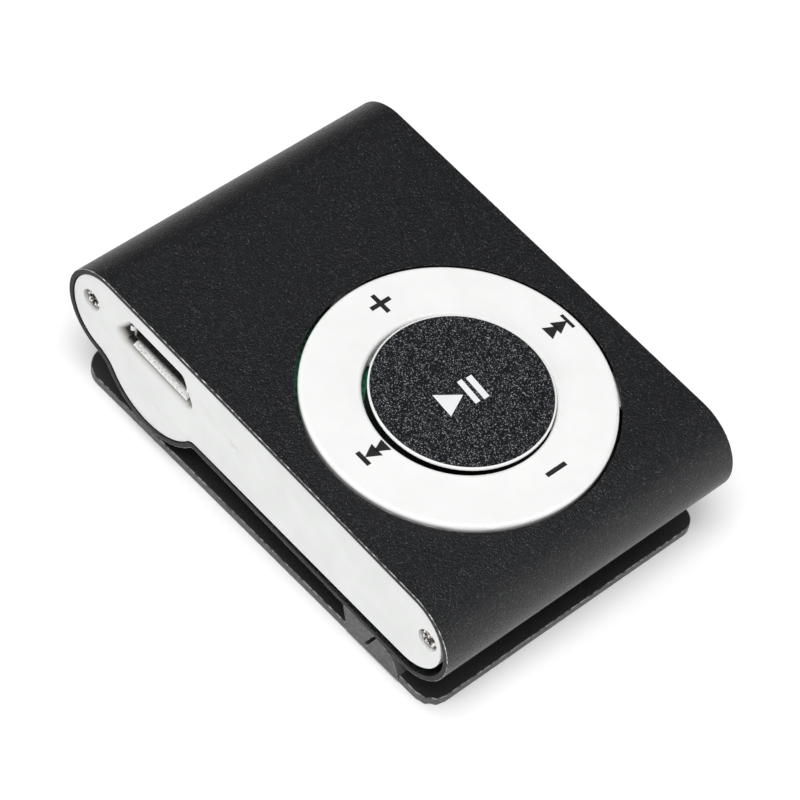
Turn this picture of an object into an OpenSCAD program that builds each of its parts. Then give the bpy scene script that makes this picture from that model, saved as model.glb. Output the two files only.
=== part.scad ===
// Clip-on digital audio player: a short extruded sleeve with a rocker ring, a play button and a
// sprung clip. The row frame rests on the clip: +Z is up from the table, X runs along the player,
// and the sleeve's open ends face -Y and +Y. The origin is the middle of the clip's flat underside.
// The player sits on the clip at a small angle, so its own modules are drawn in the player's frame,
// whose origin is the centre of the control ring on the sleeve's top face.

/* [Placement] */
// Angle between the sleeve's top face and the clip
wedge_angle = 2.8; // [0:0.1:4]
// Height of the ring's centre above the table
ring_height = 14.06; // [13.8:0.02:16]
// Distance of the ring's centre from the middle of the clip
ring_offset = 7.0; // [6:0.1:8]

/* [Sleeve] */
// Thickness of the sleeve, outside
sleeve_h = 9.6; // [9.4:0.1:10]
// Distance from the ring's centre to the sleeve's jack end
sleeve_left = 30.8; // [30:0.1:32]
// Distance from the ring's centre to the sleeve's hinge end
sleeve_right = 17.6; // [17:0.1:19]
// Width of the player, along the extrusion
sleeve_w = 32.8; // [32:0.1:34]
// Wall of the sleeve
sleeve_wall = 0.5; // [0.4:0.05:0.6]
// Radius of the bulge under the sleeve, outside
bulge_r = 6.75; // [6.6:0.05:7]
// Distance from the ring's centre to the bulge's centre
bulge_x = 19.6; // [19:0.1:20]
// Depth of the bulge's centre under the top face
bulge_z = 6.1; // [5.9:0.05:6.2]

// Radii of the blends at the bulge's two sides, outside
blend_left = 3; // [2:0.1:4]
blend_right = 0.7; // [0.5:0.1:1.2]

/* [Controls] */
// Radius of the control ring
ring_r = 13.5; // [13:0.1:14]
// Radius of the hole in the control ring
ring_hole_r = 8.2; // [8:0.05:8.5]
// Height of the ring above the sleeve
ring_proud = 0.3; // [0.2:0.05:0.4]
// Gap between the ring and the hole in the sleeve
ring_gap = 0.3; // [0.2:0.05:0.4]
// Radius of the play button
play_r = 7.95; // [7.8:0.05:8]
// Height of the play button above the sleeve
play_proud = 0.75; // [0.6:0.05:0.9]
// How far the play button sits off the ring's centre, along X and Y
play_shift = 0.12; // [0:0.02:0.14]

/* [Ends] */
// Depth of the end caps inside the sleeve's ends
cap_inset = 0.1; // [0.05:0.05:0.5]
// Thickness of the end caps
cap_t = 1.8; // [1.4:0.1:2]
// Radius of the headphone jack's bore
jack_bore_r = 1.8; // [1.75:0.01:1.85]
// Depth of the headphone jack's bore
jack_bore_depth = 13; // [11:0.5:13.5]
// Travel of the power knob
knob_travel = 2; // [1.5:0.1:2]

/* [Clip] */
// Length of the clip plate
clip_l = 45.9; // [45:0.1:47]
// Width of the clip plate
clip_w = 31.4; // [31:0.1:32]
// Thickness of the clip's sheet
clip_t = 0.9; // [0.8:0.05:1]
// Distance of the hinge pin from the middle of the clip
pin_x = 13.7; // [13.4:0.1:14]
// Height of the hinge pin above the table
pin_z = 2.05; // [2:0.05:2.15]
// Radius of the hinge pin
pin_r = 0.6; // [0.5:0.05:0.65]

/* [Hidden] */
$fn = 96;
eps = 0.01;
slack = 0.004;

// Sleeve, in the player's frame
end_r = sleeve_h / 2;
left_x = end_r - sleeve_left;
right_x = sleeve_right - end_r;
hole_r = ring_r + ring_gap;
half_w = sleeve_w / 2;

// End caps: the outline narrows towards the hinge end
cap_fit = 0.08;
cap_left_r = end_r - sleeve_wall - cap_fit;
cap_right_r = 3.9;
cap_taper = 1.45;
cap_top = sleeve_wall + cap_fit;
cap_out = half_w - cap_inset;
cap_in = cap_out - cap_t;
lip_l = 0.6;

// Screws: x, z and the depth of each head's seat under the cap's face
screws = [[-28.0, -4.3, 0.75], [14.95, -3.75, 0.7]];
screw_r = 0.7;
screw_head_r = 0.95;
screw_head_h = 0.6;
screw_l = 5;

// Inside
board_top = -2.4;
board_t = 0.8;
board_under = board_top - board_t;
ledge = 0.6;
board_l = -26.0;
board_r = 13.0;
board_half = cap_in - 0.2;
socket_x = -19.6;
usb_x = -19.2;
usb_z = -3.35;
usb_front = 15.7;
usb_back = 10.1;
usb_w = 3.75;
usb_h = 1.15;
usb_wall = 0.25;
jack_z = -6.9;
card_x = -6.5;
card_z = -4.1;
switch_x = 6.8;
switch_z = -4.3;
floor_z = -7.7;
rib_y = [-13.2, -5];
dome_at = 11.2;
dome_r = 1.5;
dome_h = 0.35;
dome_t = 0.08;
pivot_at = 9.3;
leaf_w = 1;
leaf_z = -1.3;
leaf_t = 0.15;
free = 0.02;
ring_under = -0.7;
skirt_z = -1.2;
skirt_t = 0.35;
hook_angles = [60, 180, 300];
hook_z = -1.5;
disc_t = 0.25;
button_hook_angles = [45, 120, 195];
led_at = [-9.1, -4.6];
led_lens_r = 0.55;
cell_low = [-12.5, -13, floor_z + 0.2];
cell_high = [12.0, 10.5, -5.1];

// Clip
ear_out = clip_w / 2 + 0.15;
ear_in = ear_out - clip_t;
pin_half = ear_in + 0.55;
bracket_t = 0.5;
bracket_half = 14.2;
bracket_x = [2.6, 11.4];
rivet_x = [3.7, 10.3];
rivet_y = [-9, 9];
rivet_r = 0.5;
slot_w = 0.3;
slot_tilt = 24.6;
spring_coil_r = 0.86;
spring_wire = 0.3;
spring_turns = 6;
pad_gap = 0.04;

// Hinge pin's centre in the player's frame
pin_dx = pin_x - ring_offset;
pin_dz = pin_z - ring_height;
pin_px = pin_dx * cos(wedge_angle) - pin_dz * sin(wedge_angle);
pin_pz = pin_dx * sin(wedge_angle) + pin_dz * cos(wedge_angle);
// Lowest point of the bulge in the row frame
bulge_low = ring_height + bulge_x * sin(wedge_angle) - bulge_z * cos(wedge_angle) - bulge_r;
bulge_low_x = ring_offset - bulge_x * cos(wedge_angle) - bulge_z * sin(wedge_angle);

// ---------- helpers ----------

// Puts the player's frame on the clip
module on_player() {
    translate([ring_offset, 0, ring_height]) rotate([0, wedge_angle, 0]) children();
}

// Extrudes an X-Z outline along Y, from y0 to y1
module along_y(y0, y1) {
    translate([0, y1, 0]) rotate([90, 0, 0]) linear_extrude(height = y1 - y0) children();
}

// A cylinder along Y, from y0 to y1, at x and z
module rod_y(r, x, z, y0, y1) {
    translate([x, y1, z]) rotate([90, 0, 0]) cylinder(h = y1 - y0, r = r);
}

// A box given by its lowest and highest corners
module block(low, high) {
    translate(low) cube(high - low);
}

// Round-ended outline between two points, both of radius r
module stadium(xa, xb, z, r) {
    translate([xa, z]) circle(r);
    translate([xb, z]) circle(r);
    translate([xa, z - r]) square([xb - xa, 2 * r]);
}

// One of the points where two circles cross; side is 1 or -1
function cross_point(c1, r1, c2, r2, side) =
    let (
        d = norm(c2 - c1),
        a = (r1 * r1 - r2 * r2 + d * d) / (2 * d),
        u = (c2 - c1) / d
    )
    c1 + a * u + side * sqrt(r1 * r1 - a * a) * [-u[1], u[0]];

// Point at distance r from c, towards f
function towards(c, f, r) = c + r * (f - c) / norm(f - c);

// Corner a-b-inner, hollowed by a circle of radius r round f
module fillet(a, b, inner, f, r) {
    difference() {
        polygon([a, b, inner]);
        translate(f) circle(r + slack);
    }
}

// Bulge under the sleeve with its two blends into the flat underside, moved inwards by inset
module bulge(inset) {
    c = [-bulge_x, -bulge_z];
    e = [left_x, -end_r];
    left = cross_point(e, end_r + blend_left, c, bulge_r + blend_left, -1);
    drop = sleeve_h + blend_right;
    reach = bulge_r + blend_right;
    right = [sqrt(reach * reach - (drop - bulge_z) * (drop - bulge_z)) - bulge_x, -drop];
    intersection() {
        translate(c) circle(bulge_r - inset);
        translate([-bulge_x - 10, -end_r - 20]) square(20);
    }
    fillet(towards(e, left, end_r - inset), towards(c, left, bulge_r - inset), (e + c) / 2,
        left, blend_left + inset);
    fillet(towards(c, right, bulge_r - inset), [right[0], inset - sleeve_h], c + [2, -1],
        right, blend_right + inset);
}

// Outline of the sleeve, moved inwards by inset
module sleeve_outline(inset) {
    stadium(left_x, right_x, -end_r, end_r - inset);
    bulge(inset);
}

// Outline of the end caps: level on top, its underside rising towards the hinge end
module cap_outline(inset = 0) {
    c = [right_x - 0.05, -cap_top - cap_right_r];
    r = cap_right_r - inset;
    low = c + r * [sin(cap_taper), -cos(cap_taper)];
    start_x = -bulge_x + 3;
    top = -cap_top - inset - slack;
    translate([left_x, -end_r]) circle(cap_left_r - inset);
    translate(c) circle(r);
    polygon([
        [left_x, top], [left_x, -end_r - 2], [start_x, low[1] + slack - (low[0] - start_x) * tan(cap_taper)],
        [low[0], low[1] + slack], [c[0], top]
    ]);
    bulge(cap_top + inset);
}

// Mouth of the socket in the near cap: wide below, narrow above
module socket_mouth() {
    top = 1.27;
    bottom = -1.5;
    polygon([
        [-3.35, top], [3.35, top], [4.65, -0.85], [4.65, -1.1], [4.2, bottom],
        [-4.2, bottom], [-4.65, -1.1], [-4.65, -0.85]
    ]);
}

// Outline of the socket's metal shell
module usb_outline(w, h) {
    polygon([
        [-w * 0.72, h], [w * 0.72, h], [w, h * 0.3], [w, -h], [-w, -h], [-w, h * 0.3]
    ]);
}

// ---------- casing ----------

module outer_sleeve() {
    color([0.13, 0.13, 0.14]) on_player() difference() {
        along_y(-half_w, half_w) difference() {
            sleeve_outline(0);
            sleeve_outline(sleeve_wall);
        }
        translate([0, 0, -end_r]) cylinder(h = end_r + 1, r = hole_r);
        for (x = rivet_x, y = rivet_y) translate([x, y, -sleeve_h - 1]) cylinder(h = 2, r = rivet_r);
    }
}

module cap_plate(side) {
    y0 = side > 0 ? cap_in : -cap_out;
    difference() {
        union() {
            along_y(y0, y0 + cap_t) cap_outline();
            // lip that centres the cap in the lower half of the sleeve
            along_y(side > 0 ? y0 - lip_l : y0 + cap_t - eps, side > 0 ? y0 + eps : y0 + cap_t + lip_l)
                difference() {
                    cap_outline(0.1);
                    cap_outline(0.7);
                    translate([-sleeve_left, board_under]) square([60, 10]);
                }
        }
        for (at = screws) {
            rod_y(screw_r + 0.12, at[0], at[1], y0 - 1, y0 + cap_t + 1);
            rod_y(screw_head_r + 0.1, at[0], at[1],
                side > 0 ? y0 + cap_t - at[2] : y0 - 1, side > 0 ? y0 + cap_t + 1 : y0 + at[2]);
        }
    }
}

module near_end_cap() {
    color([0.93, 0.94, 0.93]) on_player() difference() {
        cap_plate(-1);
        translate([usb_x, 0, usb_z]) along_y(-cap_out - 1, -cap_in + 1) socket_mouth();
        // dimple over the indicator
        translate([led_at[0], -cap_out - 0.35, led_at[1]]) sphere(0.6);
        rod_y(0.65, led_at[0], led_at[1], -cap_out + 0.5, -cap_in + 1);
    }
}

module far_end_cap() {
    color([0.93, 0.94, 0.93]) on_player() difference() {
        cap_plate(1);
        rod_y(2.9, socket_x, jack_z, cap_in - 1, cap_out + 1);
        block([card_x - 5.8, cap_in - 1, card_z - 0.75], [card_x + 5.8, cap_out + 1, card_z + 0.75]);
        block([switch_x - 2.6, cap_in - 1, switch_z - 0.8], [switch_x + 2.6, cap_out + 1, switch_z + 0.8]);
    }
}

// Cross-head screw at x and z; side says which end of the player it is in
module cap_screw(at, side) {
    translate([at[0], side * (cap_out - at[2]), at[1]]) rotate([-90 * side, 0, 0]) difference() {
        union() {
            intersection() {
                cylinder(h = screw_head_h, r = screw_head_r);
                translate([0, 0, screw_head_h - 2.2]) sphere(2.25);
            }
            translate([0, 0, -screw_l]) cylinder(h = screw_l + eps, r = screw_r);
        }
        for (a = [45, 135]) rotate([0, 0, a]) translate([0, 0, screw_head_h - 0.1])
            cube([1.4, 0.3, 0.7], center = true);
    }
}

module near_cap_screws() {
    color([0.75, 0.74, 0.72]) on_player() for (at = screws) cap_screw(at, -1);
}

module far_cap_screws() {
    color([0.75, 0.74, 0.72]) on_player() for (at = screws) cap_screw(at, 1);
}

// Frame: a rail along each round end, joined by a floor under the battery
module inner_frame() {
    frame_half = cap_in - lip_l - 0.05;
    color([0.9, 0.9, 0.88]) on_player() difference() {
        union() {
            along_y(-frame_half, frame_half) intersection() {
                cap_outline(0.15);
                union() {
                    // ledges that carry the board's two ends, and stops beside them
                    translate([-sleeve_left, -8]) square([sleeve_left + board_l + ledge, 8 + board_under]);
                    translate([-sleeve_left, -8]) square([sleeve_left + board_l - 0.1, 5.4]);
                    translate([board_r - ledge, -9]) square([5, 9 + board_under]);
                    translate([board_r + 0.1, -9]) square([4, 6.4]);
                    translate([-13.2, -9]) square([board_r + 13.5, 9 + floor_z]);
                }
            }
            // ribs that tie the rails together across the bulge
            for (y = rib_y) block([board_l - 0.4, y, -8.3], [-13, y + 2.4, -6.8]);
        }
        for (at = screws, s = [-1, 1])
            rod_y(screw_r, at[0], at[1], s > 0 ? frame_half - 5 : -frame_half - 1,
                s > 0 ? frame_half + 1 : -frame_half + 5);
    }
}

// ---------- sockets and switch ----------

module usb_shell() {
    color([0.8, 0.8, 0.78]) on_player() translate([usb_x, 0, usb_z]) difference() {
        along_y(-usb_front, -usb_back) usb_outline(usb_w, usb_h);
        along_y(-usb_front - 1, -usb_back - usb_wall) usb_outline(usb_w - usb_wall, usb_h - usb_wall);
    }
}

// Plastic tongue, standing on a block at the back of the shell
module usb_tongue() {
    w = usb_w - usb_wall - 0.05;
    h = usb_h - usb_wall - 0.05;
    color([0.12, 0.12, 0.12]) on_player() translate([usb_x, 0, usb_z]) {
        along_y(-usb_back - 1.5, -usb_back - usb_wall - 0.05) usb_outline(w, h);
        block([-2.5, -usb_front + 0.5, 0.1], [2.5, -usb_back - 1.4, 0.62]);
    }
}

module usb_contacts() {
    color([0.85, 0.7, 0.35]) on_player() translate([usb_x, 0, usb_z])
        for (i = [-2:2])
            block([i * 0.65 - 0.17, -usb_front + 0.8, 0.02], [i * 0.65 + 0.17, -usb_back - 1.6, 0.1]);
}

module headphone_jack() {
    color([0.16, 0.16, 0.17]) on_player() difference() {
        union() {
            block([socket_x - 2.8, 0.4, -9.7], [socket_x + 2.8, cap_in - 0.1, board_under]);
            rod_y(2.7, socket_x, jack_z, cap_in - 0.2, cap_out - 0.1);
        }
        rod_y(jack_bore_r, socket_x, jack_z, cap_out - 0.1 - jack_bore_depth, cap_out + 1);
    }
}

module jack_tabs() {
    color([0.8, 0.78, 0.7]) on_player() for (s = [-1, 1], y = [2, 7, 12])
        block([socket_x + (s > 0 ? 2.8 : -3.7), y - 0.6, board_under - 0.3],
            [socket_x + (s > 0 ? 3.7 : -2.8), y + 0.6, board_under]);
}

module card_socket() {
    color([0.78, 0.78, 0.78]) on_player() difference() {
        block([card_x - 7, -0.8, card_z - 0.85], [card_x + 7, cap_in - 0.15, board_under]);
        block([card_x - 5.6, 0, card_z - 0.45], [card_x + 5.6, cap_in + 1, card_z + 0.45]);
    }
}

module power_switch() {
    color([0.75, 0.75, 0.75]) on_player() difference() {
        block([switch_x - 4.2, 11.6, -5], [switch_x + 4.2, cap_in - 0.15, board_under]);
        block([switch_x - 2.4, 12.3, switch_z - 0.6], [switch_x + 2.4, cap_in + 1, switch_z + 0.5]);
    }
}

// Knob at the off end of its travel
module power_knob() {
    x = switch_x - knob_travel / 2;
    color([0.92, 0.92, 0.9]) on_player() {
        block([x - 0.9, 12.5, switch_z - 0.5], [x + 0.9, cap_out + 0.6, switch_z + 0.4]);
        for (i = [-1:1]) block([x + i * 0.55 - 0.12, cap_out + 0.5, switch_z - 0.5],
            [x + i * 0.55 + 0.12, cap_out + 0.75, switch_z + 0.4]);
    }
}

// ---------- electronics ----------

module circuit_board() {
    color([0.05, 0.38, 0.2]) on_player() difference() {
        block([board_l, -board_half, board_under], [board_r, board_half, board_top]);
        // notch for the sunk socket
        block([usb_x - usb_w - 0.3, -board_half - 1, board_top - 2],
            [usb_x + usb_w + 0.3, -usb_back + 0.3, board_top + 1]);
    }
}

// Flat package under the board, with a row of leads along two sides
module chip(x, y, w, d, h, leads) {
    pitch = d / leads;
    block([x - w / 2, y - d / 2, board_under - h], [x + w / 2, y + d / 2, board_under - 0.05]);
    for (s = [-1, 1], i = [0:leads - 1])
        translate([x + s * (w / 2 + 0.2), y + (i + 0.5 - leads / 2) * pitch, board_under - 0.15])
            cube([0.6, pitch * 0.45, 0.3], center = true);
}

module decoder_chip() {
    color([0.1, 0.1, 0.1]) on_player() chip(-4, -7, 7, 8, 1.3, 14);
}

module memory_chip() {
    color([0.12, 0.12, 0.12]) on_player() chip(6, -8, 4, 5, 1.5, 4);
}

module crystal() {
    color([0.8, 0.8, 0.78]) on_player()
        block([8.9, -5.4, board_under - 0.8], [12.1, -2.9, board_under]);
}

module chip_resistors() {
    color([0.2, 0.18, 0.15]) on_player() {
        for (i = [0:3]) block([2 + i * 1.8, -3.2, board_under - 0.35], [2.5 + i * 1.8 - 0.02, -2.2, board_under]);
        for (i = [0:3]) block([-13.6, -11 + i * 2, board_under - 0.35], [-12.6, -10.5 + i * 2, board_under]);
        for (i = [0:2]) block([-24.8, -4 + i * 3, board_under - 0.35], [-24.3, -3 + i * 3, board_under]);
    }
}

module status_led() {
    color([0.9, 0.92, 0.95]) on_player() {
        block([led_at[0] - 0.8, -board_half, led_at[1] - 0.35],
            [led_at[0] + 0.8, -board_half + 1.4, board_under]);
        rod_y(led_lens_r, led_at[0], led_at[1], -cap_out + 0.7, -board_half + eps);
    }
}

module battery_cell() {
    color([0.75, 0.76, 0.78]) on_player() {
        block(cell_low, cell_high);
        // folded seal at the lead end
        block([cell_low[0] + 4, cell_low[1] - 0.4, cell_high[2] - 1.2],
            [cell_high[0] - 4, cell_low[1] + eps, cell_high[2] - 0.2]);
    }
}

module battery_pad() {
    color([0.85, 0.85, 0.8]) on_player()
        block([cell_low[0] + 2, cell_low[1] + 2, floor_z], [cell_high[0] - 2, cell_high[1] - 2, cell_low[2]]);
}

// Two leads from the cell's lead end up to the board
module battery_leads() {
    r = 0.28;
    y = cell_low[1] - 0.75;
    z = cell_high[2] - 1.8;
    color([0.7, 0.1, 0.1]) on_player() for (x = [3, 5]) {
        rod_y(r, x, z, y, cell_low[1]);
        translate([x, y, z]) sphere(r);
        translate([x, y, z]) cylinder(h = board_under - z, r = r);
    }
}

// ---------- switches under the ring and the button ----------

// Domed disc of sheet steel on the board
module dome(x, y) {
    big = (dome_r * dome_r + dome_h * dome_h) / (2 * dome_h);
    translate([x, y, board_top]) intersection() {
        difference() {
            translate([0, 0, dome_h - big]) sphere(big);
            translate([0, 0, dome_h - big]) sphere(big - dome_t);
        }
        cylinder(h = dome_h + 1, r = dome_r);
    }
}

module volume_domes() {
    color([0.75, 0.75, 0.74]) on_player() for (s = [-1, 1]) dome(s * dome_at, 0);
}

module track_domes() {
    color([0.75, 0.75, 0.74]) on_player() for (s = [-1, 1]) dome(0, s * dome_at);
}

module play_dome() {
    color([0.75, 0.75, 0.74]) on_player() dome(play_shift, play_shift);
}

// Posts with a round top, on the axis that the ring rocks about for volume
module rocker_posts() {
    r = 0.35;
    color([0.85, 0.85, 0.83]) on_player() for (s = [-1, 1]) {
        block([-r, s * pivot_at - 0.3, board_top], [r, s * pivot_at + 0.3, leaf_z - free - r]);
        rod_y(r, 0, leaf_z - free - r, s * pivot_at - 0.3, s * pivot_at + 0.3);
    }
}

module rocker_spring() {
    color([0.7, 0.7, 0.7]) on_player() translate([0, 0, leaf_z]) difference() {
        cylinder(h = leaf_t, r = pivot_at + leaf_w / 2);
        translate([0, 0, -1]) cylinder(h = 2, r = pivot_at - leaf_w / 2);
    }
}

// Rocker ring: round-edged ring with an inner skirt, ridges that rock on the leaf, four plungers
// and three hooks
module control_ring() {
    e = 0.35;
    color([0.97, 0.97, 0.97]) on_player() {
        rotate_extrude($fn = 180) {
            translate([ring_hole_r, ring_under]) square([ring_r - ring_hole_r, ring_proud - ring_under - e]);
            translate([ring_hole_r + e, ring_under])
                square([ring_r - ring_hole_r - 2 * e, ring_proud - ring_under]);
            translate([ring_hole_r, skirt_z]) square([skirt_t, ring_under - skirt_z + eps]);
            translate([ring_hole_r + e, ring_proud - e]) circle(e, $fn = 48);
            translate([ring_r - e, ring_proud - e]) circle(e, $fn = 48);
        }
        for (s = [-1, 1]) {
            // ridge along X
            translate([s * pivot_at - 0.5, 0, leaf_z + leaf_t + free + e])
                rotate([0, 90, 0]) cylinder(h = 1, r = e);
            // plungers over the domes
            for (at = [[s * dome_at, 0], [0, s * dome_at]])
                translate([at[0], at[1], board_top + dome_h + free])
                    cylinder(h = ring_under - board_top - dome_h, r = 0.8);
        }
        for (a = hook_angles) rotate([0, 0, a]) {
            block([ring_r - 1.1, -1.8, hook_z], [ring_r - 0.1, 1.8, ring_under + 0.1]);
            block([ring_r - 0.6, -1.8, hook_z], [ring_r + 1.15, 1.8, hook_z + 0.4]);
        }
    }
}

// Play button: a flange and rim that carry the disc, on a narrower hub with a pusher and hooks
module play_plunger() {
    rim = 0.15;
    bevel = 0.05;
    hub_r = 5.4;
    hub_z = -0.6;
    web_z = -1.75;
    seat = play_proud - disc_t;
    low = board_top + dome_h + free;
    color([0.95, 0.95, 0.95]) on_player() translate([play_shift, play_shift, 0]) {
        rotate_extrude($fn = 180) {
            polygon([
                [0, hub_z], [hub_r, hub_z], [hub_r, 0], [play_r, seat - 0.1],
                [play_r, play_proud - 2 * bevel], [play_r - bevel, play_proud - bevel],
                [play_r - rim, play_proud - bevel], [play_r - rim, seat], [0, seat]
            ]);
        }
        translate([0, 0, low]) cylinder(h = hub_z - low + eps, r = 1.4);
        // hooks that stop the button from lifting out of the ring
        for (a = button_hook_angles) rotate([0, 0, a]) {
            block([hub_r - 0.9, -1.2, web_z], [hub_r - 0.1, 1.2, hub_z + 0.1]);
            block([hub_r - 0.9, -1.2, web_z], [play_r + 0.55, 1.2, web_z + 0.3]);
        }
    }
}

module play_disc() {
    color([0.15, 0.15, 0.16]) on_player() translate([play_shift, play_shift, play_proud - disc_t])
        cylinder(h = disc_t, r = play_r - 0.15 - 0.02, $fn = 180);
}

// ---------- clip and hinge ----------

module hinge_bracket() {
    low = pin_r + 0.35;
    color([0.2, 0.2, 0.2]) on_player() difference() {
        union() {
            block([bracket_x[0], -bracket_half, -sleeve_h - bracket_t],
                [bracket_x[1], bracket_half, -sleeve_h]);
            for (y = [-bracket_half, bracket_half - bracket_t]) {
                along_y(y, y + bracket_t) polygon([
                    [pin_px - 2.8, -sleeve_h - bracket_t + eps], [pin_px - low, pin_pz],
                    [pin_px + low, pin_pz], [pin_px + 2.8, -sleeve_h - bracket_t + eps]
                ]);
                rod_y(low, pin_px, pin_pz, y, y + bracket_t);
            }
        }
        rod_y(pin_r + 0.01, pin_px, pin_pz, -bracket_half - 1, bracket_half + 1);
        for (x = rivet_x, y = rivet_y) translate([x, y, -sleeve_h - 1]) cylinder(h = 2, r = rivet_r);
    }
}

module bracket_rivets() {
    color([0.55, 0.55, 0.55]) on_player() for (x = rivet_x, y = rivet_y) translate([x, y, 0]) {
        translate([0, 0, -sleeve_h - bracket_t]) cylinder(h = bracket_t + sleeve_wall, r = rivet_r);
        translate([0, 0, -sleeve_h + sleeve_wall]) cylinder(h = 0.3, r = 0.9);
        translate([0, 0, -sleeve_h - bracket_t - 0.3]) cylinder(h = 0.3, r = 0.9);
    }
}

module hinge_pin() {
    color([0.75, 0.75, 0.75]) rod_y(pin_r, pin_x, pin_z, -pin_half, pin_half);
}

// Points along the spring's wire: a leg over the clip, the coil, and a leg under the bracket
function spring_path() =
    let (n = spring_turns * 12, pitch = spring_wire + 0.06, w = spring_turns * pitch)
    concat(
        [[pin_x + 4.2, -w / 2, pin_z - spring_coil_r], [pin_x + 2, -w / 2, pin_z - spring_coil_r]],
        [for (i = [0:n]) let (a = -90 - i * (360 * spring_turns + 180) / n)
            [pin_x + spring_coil_r * cos(a), -w / 2 + w * i / n, pin_z + spring_coil_r * sin(a)]],
        [[pin_x + 1.8, w / 2, pin_z + spring_coil_r], [pin_x + 3.4, w / 2, pin_z + spring_coil_r + 0.25]]
    );

function unit(v) = v / norm(v);

// Round wire swept along a path; every ring stands across the path's direction
module wire(path, r, sides) {
    n = len(path);
    rings = [for (i = [0:n - 1])
        let (
            d = unit(path[min(i + 1, n - 1)] - path[max(i - 1, 0)]),
            u = unit(cross(d, [0, 1, 0.02])),
            v = cross(d, u)
        )
        for (k = [0:sides - 1]) path[i] + r * (cos(k * 360 / sides) * u + sin(k * 360 / sides) * v)
    ];
    walls = [for (i = [0:n - 2], k = [0:sides - 1]) let (j = (k + 1) % sides)
        [i * sides + k, (i + 1) * sides + k, (i + 1) * sides + j, i * sides + j]];
    ends = [[for (k = [0:sides - 1]) k], [for (k = [sides - 1:-1:0]) (n - 1) * sides + k]];
    polyhedron(points = rings, faces = concat(walls, ends), convexity = 10);
}

module torsion_spring() {
    color([0.7, 0.7, 0.72]) wire(spring_path(), spring_wire / 2, 8);
}

// Plate outline with a corner radius at each end
module plate_outline(r_left, r_right) {
    half_l = clip_l / 2;
    half_c = clip_w / 2;
    translate([r_left - half_l, -half_c]) square([clip_l - r_left - r_right, clip_w]);
    translate([-half_l, r_left - half_c]) square([r_left * 2, clip_w - 2 * r_left]);
    translate([half_l - 2 * r_right, r_right - half_c]) square([r_right * 2, clip_w - 2 * r_right]);
    for (s = [-1, 1]) {
        translate([r_left - half_l, s * (half_c - r_left)]) circle(r_left);
        translate([half_l - r_right, s * (half_c - r_right)]) circle(r_right);
    }
}

// Hinge ear, bent up from the plate's edge; its outer face is at y = 0
module ear_outline() {
    difference() {
        polygon([
            [pin_x - 1.1, 0.3], [pin_x - 1.2, 1.2], [pin_x - 1.85, 3.15], [pin_x + 0.8, 3.15],
            [pin_x + 4.25, 2.7], [pin_x + 5.35, clip_t], [pin_x + 5.35, 0.3]
        ]);
        // slanted slot for the spring's tail
        translate([pin_x + 1.3, 0.95]) rotate(-slot_tilt) translate([-slot_w / 2, 0]) square([slot_w, 4]);
    }
}

module clip_plate() {
    color([0.14, 0.14, 0.14]) difference() {
        union() {
            linear_extrude(height = clip_t) plate_outline(2.5, 1.75);
            for (s = [-1, 1]) {
                along_y(s > 0 ? ear_in : -ear_out, s > 0 ? ear_out : -ear_in) ear_outline();
                // short flange that stiffens the ear's hinge end
                block([pin_x + 4.65, s > 0 ? ear_in - 1.6 : -ear_in - 0.1, 0.4],
                    [pin_x + 5.35, s > 0 ? ear_in + 0.1 : 1.6 - ear_in, 2.3]);
            }
        }
        for (s = [-1, 1]) rod_y(pin_r + 0.05, pin_x, pin_z, s > 0 ? ear_in - 1 : -pin_half - 0.05,
            s > 0 ? pin_half + 0.05 : 1 - ear_in);
    }
}

module grip_pad() {
    top = bulge_low - pad_gap;
    color([0.08, 0.08, 0.08]) block([bulge_low_x - 2.6, -12, clip_t], [bulge_low_x + 2.6, 12, top]);
}

outer_sleeve();
near_end_cap();
near_cap_screws();
far_end_cap();
far_cap_screws();
inner_frame();
usb_shell();
usb_tongue();
usb_contacts();
headphone_jack();
jack_tabs();
card_socket();
power_switch();
power_knob();
circuit_board();
decoder_chip();
memory_chip();
crystal();
chip_resistors();
status_led();
battery_cell();
battery_pad();
battery_leads();
volume_domes();
track_domes();
play_dome();
rocker_posts();
rocker_spring();
control_ring();
play_plunger();
play_disc();
hinge_bracket();
bracket_rivets();
hinge_pin();
torsion_spring();
clip_plate();
grip_pad();
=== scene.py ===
"""Looks of the clip-on digital audio player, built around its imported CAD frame."""
import math

import bmesh
import bpy
from mathutils import Matrix, Vector, geometry


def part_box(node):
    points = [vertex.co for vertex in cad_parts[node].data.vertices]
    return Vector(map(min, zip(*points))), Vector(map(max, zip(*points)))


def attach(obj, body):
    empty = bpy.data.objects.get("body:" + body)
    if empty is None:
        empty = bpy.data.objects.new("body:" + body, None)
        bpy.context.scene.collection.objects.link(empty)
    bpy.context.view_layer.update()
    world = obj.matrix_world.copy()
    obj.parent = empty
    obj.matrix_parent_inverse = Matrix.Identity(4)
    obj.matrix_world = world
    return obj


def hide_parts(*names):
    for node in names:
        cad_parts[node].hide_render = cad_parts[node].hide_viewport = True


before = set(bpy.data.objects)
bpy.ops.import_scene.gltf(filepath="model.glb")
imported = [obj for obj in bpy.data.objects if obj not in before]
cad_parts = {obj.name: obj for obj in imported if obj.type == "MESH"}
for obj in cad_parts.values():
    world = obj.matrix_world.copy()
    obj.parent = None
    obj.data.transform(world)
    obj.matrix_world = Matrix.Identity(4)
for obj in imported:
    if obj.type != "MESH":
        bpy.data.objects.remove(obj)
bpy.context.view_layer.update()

MM = 0.001

# The player's own frame: origin at the ring's centre on the sleeve's top face, millimetres
WEDGE = 2.8
RING_HEIGHT = 14.06
RING_OFFSET = 7.0
TO_ROW = (
    Matrix.Translation((RING_OFFSET * MM, 0, RING_HEIGHT * MM))
    @ Matrix.Rotation(math.radians(WEDGE), 4, "Y")
    @ Matrix.Scale(MM, 4)
)
CLIP_TO_ROW = Matrix.Scale(MM, 4)

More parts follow.
